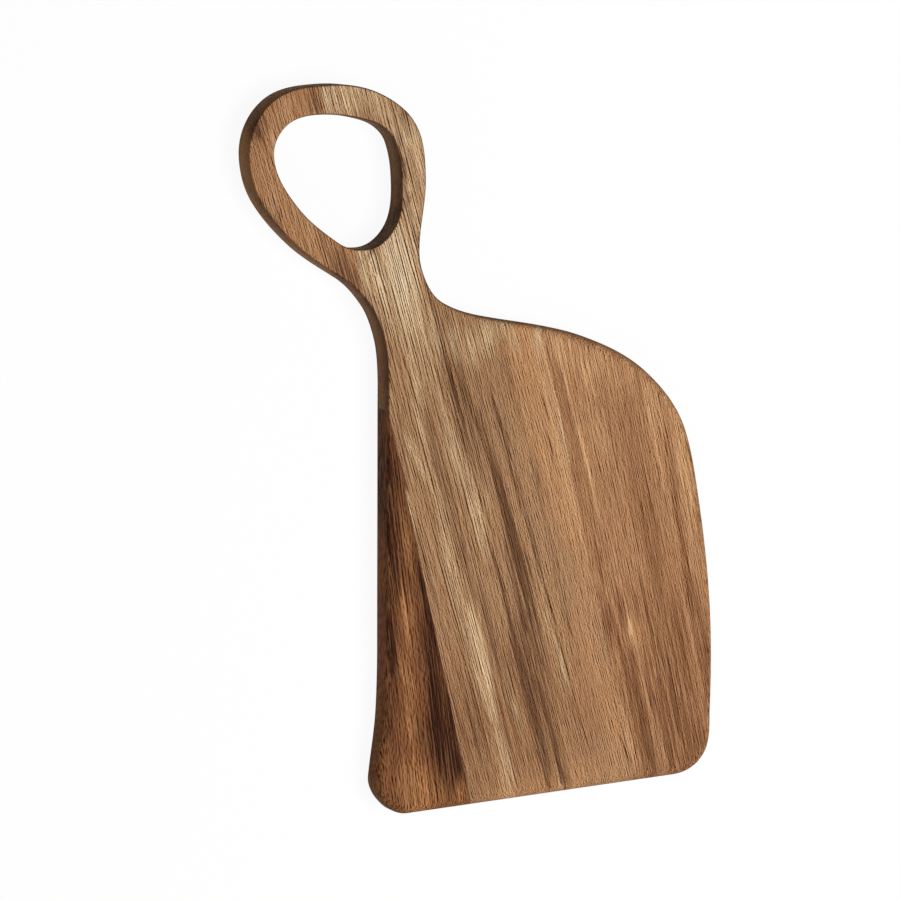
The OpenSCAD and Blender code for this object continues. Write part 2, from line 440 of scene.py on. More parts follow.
# Levels of the noise between which the threads of a mark thicken, and their thinnest and thickest share
THREAD_FROM = 0.38
THREAD_TO = 0.62
THREAD_LEAST = 0.3
THREAD_MOST = 1.7
# Levels of the noise between which long fibre lines fade in
LINE_FROM = 0.36
LINE_TO = 0.6
# What full painted shade on a wall leaves of red, green and blue
PAINTED_SHADE_TINT = (0.39, 0.345, 0.31)
# Share of the thickness from which the painted wall shade grows towards the serving face, and how strong it
# is below that
PAINTED_SHADE_FROM = 1 / 3
PAINTED_SHADE_LEAST = 0.3
# Share of the pores and fibre lines that a routed wall loses
WALL_SMOOTH = 0.75
# Upward share of a face's direction from which a rounded edge takes painted shade, and at which it counts as
# a wall on the soft edges of the blade and on the crisp edges of the loop
FACE_FLAT = 0.995
WALL_FLAT = 0.35
CRISP_FLAT = 0.8
# Way towards the loop: mm along the grain, less a share of the mm across it. Over the first stretch the
# painted shade of the walls grows from none to full, and over the second edges turn from soft to crisp
EDGE_SLOPE = 0.8
EDGE_FROM = -20
EDGE_TO = 260
CRISP_FROM = 225
CRISP_TO = 265
# Finish of the oiled wood: how far the pores' level swings, roughness in a pore and on its rim, IOR, gloss,
# and the depth and strength of the fibres' relief
PORE_SWING = 0.4
PORE_ROUGH = 0.68
RIM_ROUGH = 0.52
WOOD_IOR = 1.45
WOOD_GLOSS = 0.04
RELIEF_DEPTH = 0.4 * MM
RELIEF_STRENGTH = 0.4
# Finish of the glue: width of its patches, roughness and gloss
GLUE_PATCH = 5 * MM
GLUE_ROUGH = 0.5
GLUE_GLOSS = 0.1
# Places of the colour sockets on a Mix node: its two inputs and its output
MIX_A = 6
MIX_B = 7
MIXED = 2

# Camera of the photograph: its turn, the point it aims at and its distance
CAMERA_TURN = Euler((radians(-7.288), radians(-24.870), radians(-2.713)))
CAMERA_AIM = Vector((-25.13, -2.04, 16)) * MM
CAMERA_DISTANCE = 2.5
CAMERA_LENS = 180
SENSOR = 36
# Side of the room that the even light comes from, where it starts (0 is square to that side) and how much
# brighter than the sky's level it gets
BRIGHT_SIDE = (-0.9, -0.43, 0)
BRIGHT_FROM = 0.2
BRIGHT_GAIN = 4.5
# Place and width of the key light, width of the floor and its gap under the board, in metres
KEY_AT = Vector((0.9, -0.35, 1.95))
KEY_WIDTH = 1.4
FLOOR_WIDTH = 40
FLOOR_GAP = 0.4 * MM


def linear(text):
    """The linear colour of an sRGB hex value."""
    shares = [int(text[i:i + 2], 16) / 255 for i in (1, 3, 5)]
    return [c / 12.92 if c <= 0.04045 else ((c + 0.055) / 1.055) ** 2.4 for c in shares]


def length(name, description, mm):
    """A length that a user may change."""
    return FloatProperty(name=name, description=description, default=mm * MM, unit="LENGTH", precision=4)


def tone(name, description, text):
    """A colour that a user may change."""
    return FloatVectorProperty(
        name=name, description=description, default=linear(text), subtype="COLOR", size=3, min=0, max=1)


class BoardSizes(PropertyGroup):
    """Sizes of the board, the same as in the part's source"""

    board_t: length("Thickness", "Thickness of the planks", (CAD_HIGH.z - CAD_LOW.z) / MM)
    blade_w: length("Blade width", "From the tip of the heel to the right edge", 215.4)
    blade_l: length("Blade length", "From the foot edge to the root of the neck", 275.2)
    blade_edge_r: length("Blade edge", "Rounding of the blade's edge on the serving side", 6)
    under_edge_r: length("Under edge", "Rounding of the blade's edge on the underside", 3.5)
    neck_inset: length("Neck inset", "How far the neck stands in from the tip of the heel", 18.3)
    neck_w: length("Neck width", "Width of the neck between its two hollows", 36)
    neck_l: length("Neck length", "From the blade to the loop", 30)
    loop_w: length("Loop width", "Outside width of the loop", 104.6)
    loop_l: length("Loop length", "Outside length of the loop", 105)
    loop_overhang: length("Loop overhang", "Reach of the loop to the left of the neck", 76.3)
    rim_w: length("Rim width", "Width of the wood at the sides of the hole", 15)
    rim_foot_w: length("Foot rim width", "Width of the wood under the foot of the hole", 13.7)
    rim_top_w: length("Top rim width", "Width of the wood over the top of the hole", 16)
    loop_edge_r: length("Loop edge", "Rounding of the edges of the loop and the neck", 1.2)
    neck_cut_in: length("Neck cut", "How far the neck is cut in past the left glue line", 4.9)
    plank_w: length("Plank width", "Width of the middle plank across its grain", 101.5)
    glue_t: length("Glue thickness", "Thickness of the cured glue between two planks", 0.15)
    grain_skew: FloatProperty(
        name="Grain skew", description="Angle between the grain and the long axis of the board",
        default=radians(10), subtype="ANGLE")


class WoodColours(PropertyGroup):
    """Colours of the four staves and the glue"""

    loop_base: tone("Loop", "Main colour of the loop's left side", "#ae7f57")
    loop_pale: tone("Loop pale", "Pale wood of the loop's left side", "#c0926a")
    loop_dark: tone("Loop dark", "Dark wood of the loop's left side", "#6c4832")
    middle_base: tone("Middle", "Main colour of the middle plank", "#a67d59")
    middle_warm: tone("Middle warm", "Warm wood towards the right glue line", "#bf8c60")
    # Middle foot is the colour of a broad darkening of the middle plank towards the foot edge
    middle_foot: tone("Middle foot", "Redder wood of the middle plank towards the foot edge", "#845737")
    middle_pale: tone("Middle pale", "Straw-coloured sapwood of the middle plank", "#d0af86")
    middle_sap: tone("Middle sap", "Palest sapwood, at the neck", "#e2c59f")
    middle_dark: tone("Middle dark", "Dark heart bands of the middle plank", "#694830")
    right_base: tone("Right", "Main colour of the right plank", "#aa7b55")
    right_pale: tone("Right pale", "Pale streaks of the right plank", "#c8996c")
    right_dark: tone("Right dark", "Dark bands of the right plank", "#7b5235")
    heel_base: tone("Heel", "Main colour of the heel", "#7a4e30")
    heel_tan: tone("Heel tan", "Orange-tan patches of the heel", "#ab754a")
    heel_dark: tone("Heel dark", "Chocolate heartwood of the heel", "#3b2013")
    glue: tone("Glue", "Cured wood glue at the joints", "#6b4a2e")
    glue_soaked: tone("Glue soaked", "Glue that has soaked into dark wood", "#3c2617")


class StudioLook(PropertyGroup):
    """Light and floor of the studio"""

    key_power: FloatProperty(
        name="Key light", description="Power of the soft light over the board", default=46, unit="POWER")
    sky_level: FloatProperty(
        name="Sky", description="Level of the even light from all round", default=0.25, min=0)
    floor_paint: tone("Floor", "Colour of the floor as it lights the board", "#6c6a67")
    floor_white: FloatProperty(
        name="Floor white", description="Share of the floor's white that no shadow dims", default=0.93,
        min=0, max=1, subtype="FACTOR")


def placed(shares, at, size):
    """Knots at shares of a size, from a corner."""
    return [Knot(at + Vector((x, y)) * size, radians(heading), soft) for x, y, heading, soft in shares]


def board_middle(sizes):
    """Middle of the board's box, which is the origin of the frame."""
    left = sizes.neck_inset - sizes.loop_overhang
    top = sizes.blade_l + sizes.neck_l + sizes.loop_l
    return Vector(((left + sizes.blade_w) / 2, top / 2))


def outline_knots(sizes):
    """Knots round the outside of the board."""
    heel_at = -board_middle(sizes)
    neck_at = heel_at + Vector((sizes.neck_inset, sizes.blade_l))
    loop_at = neck_at + Vector((-sizes.loop_overhang, sizes.neck_l))
    neck_size = Vector((sizes.neck_w, sizes.neck_l))
    return (
        placed(BLADE_SHARES, heel_at, Vector((sizes.blade_w, sizes.blade_l)))
        + placed(NECK_RIGHT_SHARES, neck_at, neck_size)
        + placed(LOOP_SHARES, loop_at, Vector((sizes.loop_w, sizes.loop_l)))
        + placed(NECK_LEFT_SHARES, neck_at, neck_size)
        + placed(HEEL_SHARES, heel_at, Vector((sizes.neck_inset, sizes.blade_l)))
    )


def hole_knots(sizes):
    """Knots round the finger hole."""
    hole_at = Vector((
        sizes.neck_inset - sizes.loop_overhang + sizes.rim_w,
        sizes.blade_l + sizes.neck_l + sizes.rim_foot_w))
    hole_size = Vector((
        sizes.loop_w - 2 * sizes.rim_w, sizes.loop_l - sizes.rim_foot_w - sizes.rim_top_w))
    return placed(HOLE_SHARES, hole_at - board_middle(sizes), hole_size)


def walk(knots):
    """Steps along the smooth closed curve through the knots, each with its outward direction."""
    steps = []
    for a, b in zip(knots, knots[1:] + knots[:1]):
        turn = (b.heading - a.heading + pi) % (2 * pi) - pi
        reach = (b.at - a.at).length / (3 * cos(turn / 4) ** 2)
        near_a = a.at + reach * Vector((cos(a.heading), sin(a.heading)))
        near_b = b.at - reach * Vector((cos(b.heading), sin(b.heading)))
        count = max(ceil(abs(turn) / STEP_TURN), ceil((b.at - a.at).length / STEP_LENGTH))
        for share in (i / count for i in range(count)):
            middle = near_a.lerp(near_b, share)
            early = a.at.lerp(near_a, share).lerp(middle, share)
            late = middle.lerp(near_b.lerp(b.at, share), share)
            way = (late - early).normalized()
            soft = a.soft + (b.soft - a.soft) * share
            steps.append(Step(early.lerp(late, share), Vector((way.y, -way.x)), soft))
    return steps


def wall_rings(steps, side, sizes):
    """Rings of a rounded wall from the flat underside to the flat serving face; side is -1 round a hole."""
    def ring(blade_r, flat, away, turn, margin=0):
        points = []
        for step in steps:
            r = sizes.loop_edge_r + (blade_r - sizes.loop_edge_r) * step.soft
            at = step.at - side * (r * (1 - sin(turn)) + margin) * step.out
            points.append((at.x, at.y, flat + away * r * (1 - cos(turn))))
        return points

    turns = [pi / 2 * i / RIM_STEPS for i in range(RIM_STEPS + 1)]
    under = [ring(sizes.under_edge_r, 0, 1, turn) for turn in turns]
    serving = [ring(sizes.blade_edge_r, sizes.board_t, -1, turn) for turn in reversed(turns)]
    return (
        [ring(sizes.under_edge_r, 0, 1, 0, FLAT_MARGIN)] + under
        + serving + [ring(sizes.blade_edge_r, sizes.board_t, -1, 0, FLAT_MARGIN)]
    )


def only_select(piece):
    """Selects one object and nothing else."""
    bpy.ops.object.select_all(action="DESELECT")
    piece.select_set(True)
    bpy.context.view_layer.objects.active = piece


def lay_selected(wall, ring):
    """Moves the selected corners of a wall to their places on a ring."""
    mesh = bmesh.from_edit_mesh(wall.data)
    place = mesh.verts.layers.int["place"]
    for corner in mesh.verts:
        if corner.select:
            corner.co = ring[corner[place]]
    bmesh.update_edit_mesh(wall.data)


def extruded_wall(rings):
    """A circle laid on the first ring and extruded through the others."""
    bpy.ops.object.select_all(action="DESELECT")
    bpy.ops.mesh.primitive_circle_add(vertices=len(rings[0]))
    wall = bpy.context.active_object
    place = wall.data.attributes.new("place", "INT", "POINT")
    place.data.foreach_set("value", range(len(rings[0])))
    bpy.ops.object.mode_set(mode="EDIT")
    bpy.ops.mesh.select_all(action="SELECT")
    lay_selected(wall, rings[0])
    for ring in rings[1:]:
        bpy.ops.mesh.extrude_region_move()
        lay_selected(wall, ring)
    bpy.ops.object.mode_set(mode="OBJECT")
    return wall


def fill_flat(board, height):
    """Closes the open edges at one height with a flat face."""
    mesh = bmesh.from_edit_mesh(board.data)
    for edge in mesh.edges:
        edge.select_set(edge.is_boundary and all(abs(c.co.z - height) < CUT_GAP for c in edge.verts))
    bmesh.update_edit_mesh(board.data)
    bpy.ops.mesh.fill(use_beauty=True)


def shaped_blank(sizes):
    """The whole board with its hole and rounded edges, before the planks are told apart."""
    hole = extruded_wall(wall_rings(walk(hole_knots(sizes)), -1, sizes))
    board = extruded_wall(wall_rings(walk(outline_knots(sizes)), 1, sizes))
    hole.select_set(True)
    bpy.ops.object.join()
    board.name = BLANK
    bpy.ops.object.mode_set(mode="EDIT")
    bpy.ops.mesh.select_mode(type="EDGE")
    for height in (0, sizes.board_t):
        bpy.ops.mesh.select_all(action="DESELECT")
        fill_flat(board, height)
    bpy.ops.mesh.select_all(action="SELECT")
    bpy.ops.mesh.normals_make_consistent(inside=False)
    bpy.ops.object.mode_set(mode="OBJECT")
    board.data.attributes.remove(board.data.attributes["place"])
    return board


def waist_height(sizes):
    """Height on the board of the waist, the last knot of the neck's left hollow."""
    return sizes.blade_l + NECK_LEFT_SHARES[-1][1] * sizes.neck_l


def grain_of(sizes):
    """Foot of the left glue line and the two directions of the grain."""
    skew = sizes.grain_skew
    foot_x = sizes.neck_inset - sizes.neck_cut_in + waist_height(sizes) * tan(skew)
    foot = Vector((foot_x, 0)) - board_middle(sizes)
    return Grain(foot.to_3d(), Vector((cos(skew), sin(skew), 0)), Vector((-sin(skew), cos(skew), 0)))


def sawn_piece(name, sizes, left=None, right=None, low=None, high=None):
    """A copy of the blank sawn at lines along the grain, left and right, and across it, low and high."""
    blank = bpy.data.objects[BLANK]
    piece = blank.copy()
    piece.data = blank.data.copy()
    piece.name = name
    piece.data.name = name
    bpy.context.collection.objects.link(piece)
    only_select(piece)
    grain = grain_of(sizes)
    bpy.ops.object.mode_set(mode="EDIT")
    for reach, direction, away in (
        (left, grain.across, -1), (right, grain.across, 1), (low, grain.along, -1), (high, grain.along, 1)
    ):
        if reach is None:
            continue
        bpy.ops.mesh.select_all(action="SELECT")
        bpy.ops.mesh.bisect(
            plane_co=grain.foot + reach * direction, plane_no=away * direction,
            use_fill=True, clear_outer=True, threshold=CUT_GAP)
    bpy.ops.mesh.select_all(action="SELECT")
    bpy.ops.mesh.remove_doubles(threshold=CUT_GAP)
    bpy.ops.mesh.normals_make_consistent(inside=False)
    bpy.ops.object.mode_set(mode="OBJECT")
    if not piece.data.polygons:
        raise RuntimeError(f"{name}: nothing is left of the blank after the saw cuts")
    bpy.ops.object.shade_smooth_by_angle(angle=SMOOTH_ANGLE)
    return piece


def dressed(piece, node_name, material):
    """Gives a piece its material and puts it in the place of its CAD node."""
    piece.data.materials.clear()
    piece.data.materials.append(material)
    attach(piece, "root")
    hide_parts(node_name)


def node(tree, kind, inputs=None, **settings):
    """Adds a node with its settings; an input takes a value or another node's output."""
    made = tree.nodes.new(kind)
    for field, value in settings.items():
        setattr(made, field, value)
    for socket, value in (inputs or {}).items():
        if isinstance(value, bpy.types.NodeSocket):
            tree.links.new(value, made.inputs[socket])
        else:
            made.inputs[socket].default_value = value
    return made


def spindles(tree, grain, marks, depth):
    """The sum of a list of marks: 0 in plain wood, rising to each mark's strength along its core."""
    total = 0.0
    for across, along, half_width, half_length, lean, strength in marks:
        place = node(tree, "ShaderNodeMapping", {
            "Vector": grain, "Location": (across, along, depth), "Rotation": (0, 0, radians(lean)),
            "Scale": (half_width, half_length, MARK_DEPTH)}, vector_type="TEXTURE")
        core = node(tree, "ShaderNodeTexGradient", {"Vector": place.outputs[0]}, gradient_type="SPHERICAL")
        total = node(tree, "ShaderNodeMath", {
            0: core.outputs["Fac"], 1: strength, 2: total}, operation="MULTIPLY_ADD").outputs[0]
    return total


def fibre_noise(tree, grain, streak, lean, aside=0.0):
    """Noise drawn out along fibres that lean by some degrees, moved aside by some mm."""
    stretched = node(tree, "ShaderNodeMapping", {
        "Vector": grain, "Location": (aside, 0, 0), "Rotation": (0, 0, radians(lean)),
        "Scale": (streak.width, streak.run, streak.width)}, vector_type="TEXTURE")
    return node(tree, "ShaderNodeTexNoise", {
        "Vector": stretched.outputs[0], "Scale": 1.0, "Detail": streak.detail,
        "Roughness": NOISE_ROUGHNESS}).outputs["Fac"]


def groove_light_and_shade(tree, grain, stroke, lean, coarse=1.0):
    """Fine strokes along the fibres, dark beside pale: dark pores with painted shade beside a painted
    highlight, as light across open pores leaves them.
    """
    streak = Streak(stroke.width * coarse, stroke.run * coarse, 0)
    lit = fibre_noise(tree, grain, streak, lean)
    shaded = fibre_noise(tree, grain, streak, lean, stroke.apart * coarse)
    return node(tree, "ShaderNodeMath", {0: lit, 1: shaded}, operation="SUBTRACT").outputs[0]


def shifted(tree, across, source, middle, reach):
    """A place across the grain, moved by a reach times a source's distance from its middle."""
    off = node(tree, "ShaderNodeMath", {0: source, 1: middle}, operation="SUBTRACT")
    return node(tree, "ShaderNodeMath", {
        0: off.outputs[0], 1: reach, 2: across}, operation="MULTIPLY_ADD").outputs[0]


def painted_shade_walls(tree, toward_loop):
    """How far a place takes painted shade and smoother fibres: 0 on the flat faces and round the foot, 1 on
    the walls of the loop.
    """
    facing = node(tree, "ShaderNodeNewGeometry")
    turned = node(tree, "ShaderNodeSeparateXYZ", {"Vector": facing.outputs["Normal"]})
    flat = node(tree, "ShaderNodeMath", {0: turned.outputs["Z"]}, operation="ABSOLUTE")
    most = node(tree, "ShaderNodeMapRange", {
        "Value": toward_loop, "From Min": EDGE_FROM, "From Max": EDGE_TO})
    steep = node(tree, "ShaderNodeMapRange", {
        "Value": toward_loop, "From Min": CRISP_FROM, "From Max": CRISP_TO,
        "To Min": WALL_FLAT, "To Max": CRISP_FLAT})
    return node(tree, "ShaderNodeMapRange", {
        "Value": flat.outputs[0], "From Min": FACE_FLAT, "From Max": steep.outputs[0],
        "To Max": most.outputs[0]}, interpolation_type="SMOOTHSTEP").outputs[0]


def painted_wall_shade(tree, wall, height, depth):
    """How far painted shade darkens a routed wall: most at the serving face, little at the underside."""
    rise = node(tree, "ShaderNodeMapRange", {
        "Value": height, "From Min": depth * PAINTED_SHADE_FROM, "From Max": depth, "To Min": PAINTED_SHADE_LEAST},
        interpolation_type="SMOOTHSTEP")
    return node(tree, "ShaderNodeMath", {0: wall, 1: rise.outputs[0]}, operation="MULTIPLY").outputs[0]


def acacia(name, sizes, base, tones, contrast, lines=(), open_grain=(), lean=0.0, coarse=1.0, edge=EDGE):
    """Oiled acacia: open-pored, so it is matt, with fine dark vessels along fibres of uneven colour.

    tones pairs each colour with its marks, and lines are thin marks. contrast is the strength of the long
    fibre lines, which open_grain raises in places. lean is the angle of the fibres in degrees, and coarse the
    size of their pores. edge is how far painted shade darkens the walls, below zero where it paints them
    paler.
    """
    material = bpy.data.materials.new(name)
    material.use_nodes = True
    tree = material.node_tree
    shader = tree.nodes["Principled BSDF"]
    grain = grain_of(sizes)
    depth = sizes.board_t / MM

    # Grain space in mm: x across the fibres from the left glue line, y along them from the foot edge
    surface = node(tree, "ShaderNodeTexCoord")
    straight = node(tree, "ShaderNodeMapping", {
        "Vector": surface.outputs["Object"], "Location": grain.foot, "Rotation": (0, 0, sizes.grain_skew),
        "Scale": (MM, MM, MM)}, vector_type="TEXTURE").outputs[0]
    parts = node(tree, "ShaderNodeSeparateXYZ", {"Vector": straight})

    # The marks wander and fray with the fibres, and lean with the growth rings below the serving face
    wander = fibre_noise(tree, straight, WANDER_NOISE, lean)
    fray = fibre_noise(tree, straight, FRAY_NOISE, lean)
    wandered = shifted(tree, parts.outputs["X"], wander, NOISE_MIDDLE, WANDER)
    frayed = shifted(tree, wandered, fray, NOISE_MIDDLE, FRAY)
    leant = shifted(tree, frayed, parts.outputs["Z"], depth, RING_LEAN)
    wavy = node(tree, "ShaderNodeCombineXYZ", {
        "X": wandered, "Y": parts.outputs["Y"], "Z": parts.outputs["Z"]}).outputs[0]
    figure = node(tree, "ShaderNodeCombineXYZ", {
        "X": leant, "Y": parts.outputs["Y"], "Z": parts.outputs["Z"]}).outputs[0]
    threads = node(tree, "ShaderNodeMapRange", {
        "Value": fibre_noise(tree, wavy, THREAD_NOISE, lean), "From Min": THREAD_FROM, "From Max": THREAD_TO,
        "To Min": THREAD_LEAST, "To Max": THREAD_MOST})

    colour = (*base, 1)
    for shade, marks in tones:
        share = node(tree, "ShaderNodeMath", {
            0: spindles(tree, figure, marks, depth), 1: threads.outputs[0]}, operation="MULTIPLY")
        colour = node(tree, "ShaderNodeMix", {
            "Factor": share.outputs[0], MIX_A: colour, MIX_B: (*shade, 1)}, data_type="RGBA").outputs[MIXED]

    # Short pores and longer vessels all over, long fibre lines that come and go, and single thin lines
    toward_loop = node(tree, "ShaderNodeMath", {
        0: parts.outputs["X"], 1: -EDGE_SLOPE, 2: parts.outputs["Y"]}, operation="MULTIPLY_ADD")
    wall = painted_shade_walls(tree, toward_loop.outputs[0])
    pores = groove_light_and_shade(tree, wavy, PORES, lean, coarse)
    vessels = groove_light_and_shade(tree, wavy, VESSELS, lean)
    long_lines = groove_light_and_shade(tree, wavy, FIBRE_LINES, lean)
    thin_lines = spindles(tree, wavy, lines, depth)
    shown = node(tree, "ShaderNodeMapRange", {
        "Value": fibre_noise(tree, wavy, LINE_NOISE, lean), "From Min": LINE_FROM, "From Max": LINE_TO,
        "To Max": FIBRE_LINE})
    fading = node(tree, "ShaderNodeMath", {0: long_lines, 1: shown.outputs[0]}, operation="MULTIPLY")
    vigour = contrast
    if open_grain:
        vigour = node(tree, "ShaderNodeMath", {
            0: spindles(tree, straight, open_grain, depth), 1: contrast}, operation="ADD").outputs[0]
    drawn = node(tree, "ShaderNodeMath", {0: fading.outputs[0], 1: vigour}, operation="MULTIPLY")
    for strokes, amount in ((pores, PORE), (vessels, VESSEL), (thin_lines, -LINE)):
        drawn = node(tree, "ShaderNodeMath", {
            0: strokes, 1: amount, 2: drawn.outputs[0]}, operation="MULTIPLY_ADD")
    rough = node(tree, "ShaderNodeMapRange", {"Value": wall, "To Min": 1.0, "To Max": 1 - WALL_SMOOTH})
    fibres = node(tree, "ShaderNodeMath", {0: drawn.outputs[0], 1: rough.outputs[0]}, operation="MULTIPLY")
    level = node(tree, "ShaderNodeMath", {0: fibres.outputs[0], 1: 1.0}, operation="ADD")
    kept = node(tree, "ShaderNodeClamp", {
        "Value": level.outputs[0], "Min": DARKEST_FIBRE, "Max": PALEST_FIBRE})
    stain = node(tree, "ShaderNodeVectorMath", {0: kept.outputs[0], 1: FIBRE_STAIN}, operation="POWER")
    fibred = node(tree, "ShaderNodeVectorMath", {0: colour, 1: stain.outputs[0]}, operation="MULTIPLY")

    # Growth bands dim or raise the colour evenly, and painted shade on the walls dims it
    band = fibre_noise(tree, wavy, BAND_NOISE, lean)
    ring = node(tree, "ShaderNodeMath", {
        0: band, 1: BAND, 2: 1 - BAND * NOISE_MIDDLE}, operation="MULTIPLY_ADD")
    wall_shade_power = node(tree, "ShaderNodeMath", {
        0: painted_wall_shade(tree, wall, parts.outputs["Z"], depth), 1: edge}, operation="MULTIPLY")
    unshaded_share = node(tree, "ShaderNodeVectorMath", {0: PAINTED_SHADE_TINT, 1: wall_shade_power.outputs[0]}, operation="POWER")
    dimmed = node(tree, "ShaderNodeVectorMath", {
        0: unshaded_share.outputs[0], "Scale": ring.outputs[0]}, operation="SCALE")
    toned = node(tree, "ShaderNodeVectorMath", {
        0: fibred.outputs[0], 1: dimmed.outputs[0]}, operation="MULTIPLY")
    tree.links.new(toned.outputs[0], shader.inputs["Base Color"])

    relief = node(tree, "ShaderNodeBump", {
        "Height": fibres.outputs[0], "Strength": RELIEF_STRENGTH, "Distance": RELIEF_DEPTH})
    tree.links.new(relief.outputs[0], shader.inputs["Normal"])
    sheen = node(tree, "ShaderNodeMapRange", {
        "Value": pores, "From Min": -PORE_SWING, "From Max": PORE_SWING,
        "To Min": PORE_ROUGH, "To Max": RIM_ROUGH})
    tree.links.new(sheen.outputs[0], shader.inputs["Roughness"])
    shader.inputs["IOR"].default_value = WOOD_IOR
    shader.inputs["Specular IOR Level"].default_value = WOOD_GLOSS
    return material


def acacia_loop(sizes, colours):
    """Acacia of the loop's left side: even warm brown, darker towards both joints."""
    tones = [(colours.loop_pale, LOOP_PALE), (colours.loop_dark, LOOP_DARK)]
    return acacia(
        "oiled_acacia_loop", sizes, colours.loop_base, tones, contrast=0.5, lean=4, edge=0.7)


def acacia_middle(sizes, colours):
    """Acacia of the middle plank: straw sapwood and dark heart bands side by side."""
    tones = [
        (colours.middle_warm, MIDDLE_WARM), (colours.middle_foot, MIDDLE_FOOT),
        (colours.middle_pale, MIDDLE_PALE), (colours.middle_sap, MIDDLE_SAP),
        (colours.middle_dark, MIDDLE_DARK)]
    return acacia(
        "oiled_acacia_middle", sizes, colours.middle_base, tones, contrast=0.25, lines=MIDDLE_LINES,
        open_grain=MIDDLE_OPEN, lean=3)


def acacia_right(sizes, colours):
    """Acacia of the right plank: redder brown with a few pale streaks."""
    tones = [(colours.right_dark, RIGHT_DARK), (colours.right_pale, RIGHT_PALE)]
    return acacia(
        "oiled_acacia_right", sizes, colours.right_base, tones, contrast=0.5, lines=RIGHT_LINES, edge=1.2)


def acacia_heel(sizes, colours):
    """Acacia of the heel: chocolate heartwood with orange-tan patches."""
    tones = [(colours.heel_tan, HEEL_TAN), (colours.heel_dark, HEEL_DARK)]
    return acacia(
        "oiled_acacia_heel", sizes, colours.heel_base, tones, contrast=0.9, lean=-5, coarse=1.7, edge=-0.2)


def cured_glue(colours):
    """Cured wood glue, sanded flush: a thin amber line, patchy where the wood has drunk it."""
    material = bpy.data.materials.new("cured_wood_glue")
    material.use_nodes = True
    tree = material.node_tree
    shader = tree.nodes["Principled BSDF"]
    surface = node(tree, "ShaderNodeTexCoord")
    patches = node(tree, "ShaderNodeTexNoise", {"Vector": surface.outputs["Object"], "Scale": 1 / GLUE_PATCH})
    blotted = node(tree, "ShaderNodeMix", {
        "Factor": patches.outputs["Fac"], MIX_A: (*colours.glue, 1), MIX_B: (*colours.glue_soaked, 1)},
        data_type="RGBA")
    tree.links.new(blotted.outputs[MIXED], shader.inputs["Base Color"])
    shader.inputs["Roughness"].default_value = GLUE_ROUGH
    shader.inputs["Specular IOR Level"].default_value = GLUE_GLOSS
    return material


class BOARD_OT_blank(Operator):
    """Shape the whole outline that the staves are sawn from"""

    bl_idname = "board.blank"
    bl_label = "Blank"

    def execute(self, context):
        shaped_blank(context.scene.board_sizes)
        return {"FINISHED"}


class BOARD_OT_loop_stave(Operator):
    """Saw the left side of the loop from the blank"""

    bl_idname = "board.loop_stave"
    bl_label = "Loop stave"

    def execute(self, context):
        sizes = context.scene.board_sizes
        waist = waist_height(sizes) / cos(sizes.grain_skew)
        piece = sawn_piece("loop_side", sizes, right=-sizes.glue_t / 2, low=waist)
        dressed(piece, "loop_stave", acacia_loop(sizes, context.scene.board_colours))
        return {"FINISHED"}


class BOARD_OT_middle_stave(Operator):
    """Saw the middle plank from the blank"""

    bl_idname = "board.middle_stave"
    bl_label = "Middle stave"

    def execute(self, context):
        sizes = context.scene.board_sizes
        half = sizes.glue_t / 2
        piece = sawn_piece("middle_plank", sizes, left=half, right=sizes.plank_w - half)
        dressed(piece, "middle_stave", acacia_middle(sizes, context.scene.board_colours))
        return {"FINISHED"}


class BOARD_OT_right_stave(Operator):
    """Saw the right plank from the blank"""

    bl_idname = "board.right_stave"
    bl_label = "Right stave"

    def execute(self, context):
        sizes = context.scene.board_sizes
        piece = sawn_piece("right_plank", sizes, left=sizes.plank_w + sizes.glue_t / 2)
        dressed(piece, "right_stave", acacia_right(sizes, context.scene.board_colours))
        return {"FINISHED"}


class BOARD_OT_heel_stave(Operator):
    """Saw the heel from the blank"""

    bl_idname = "board.heel_stave"
    bl_label = "Heel stave"

    def execute(self, context):
        sizes = context.scene.board_sizes
        waist = waist_height(sizes) / cos(sizes.grain_skew)
        piece = sawn_piece("heel", sizes, right=-sizes.glue_t / 2, high=waist)
        dressed(piece, "heel_stave", acacia_heel(sizes, context.scene.board_colours))
        return {"FINISHED"}


class BOARD_OT_glue_lines(Operator):
    """Fill the four joints between the staves with cured glue"""

    bl_idname = "board.glue_lines"
    bl_label = "Glue lines"

    def execute(self, context):
        sizes = context.scene.board_sizes
        material = cured_glue(context.scene.board_colours)
        half = sizes.glue_t / 2
        waist = waist_height(sizes) / cos(sizes.grain_skew)
        hole_l = sizes.loop_l - sizes.rim_foot_w - sizes.rim_top_w
        hole_mid = (sizes.blade_l + sizes.neck_l + sizes.rim_foot_w + hole_l / 2) / cos(sizes.grain_skew)
        for name, joint, low, high in (
            ("loop_top_glue", 0, hole_mid, None),
            ("loop_neck_glue", 0, waist, hole_mid),
            ("heel_glue", 0, None, waist),
            ("right_glue", sizes.plank_w, None, None),
        ):
            piece = sawn_piece(f"{name}_line", sizes, joint - half, joint + half, low, high)
            dressed(piece, name, material)
        return {"FINISHED"}


class BOARD_OT_stage(Operator):
    """Set up the floor, the light and the photograph's camera"""

    bl_idname = "board.stage"
    bl_label = "Stage"

    def execute(self, context):
        look = context.scene.board_studio
        studio_floor(look)
        studio_light(look)
        photo_camera(context.scene)
        context.scene.view_settings.view_transform = "Standard"
        return {"FINISHED"}


def seen_direct(tree):
    """1 for rays that show the background itself: straight from the camera, in gloss or through glass."""
    path = node(tree, "ShaderNodeLightPath")
    gloss = node(tree, "ShaderNodeMath", {
        0: path.outputs["Is Camera Ray"], 1: path.outputs["Is Glossy Ray"]}, operation="MAXIMUM")
    return node(tree, "ShaderNodeMath", {
        0: gloss.outputs[0], 1: path.outputs["Is Transmission Ray"]}, operation="MAXIMUM").outputs[0]


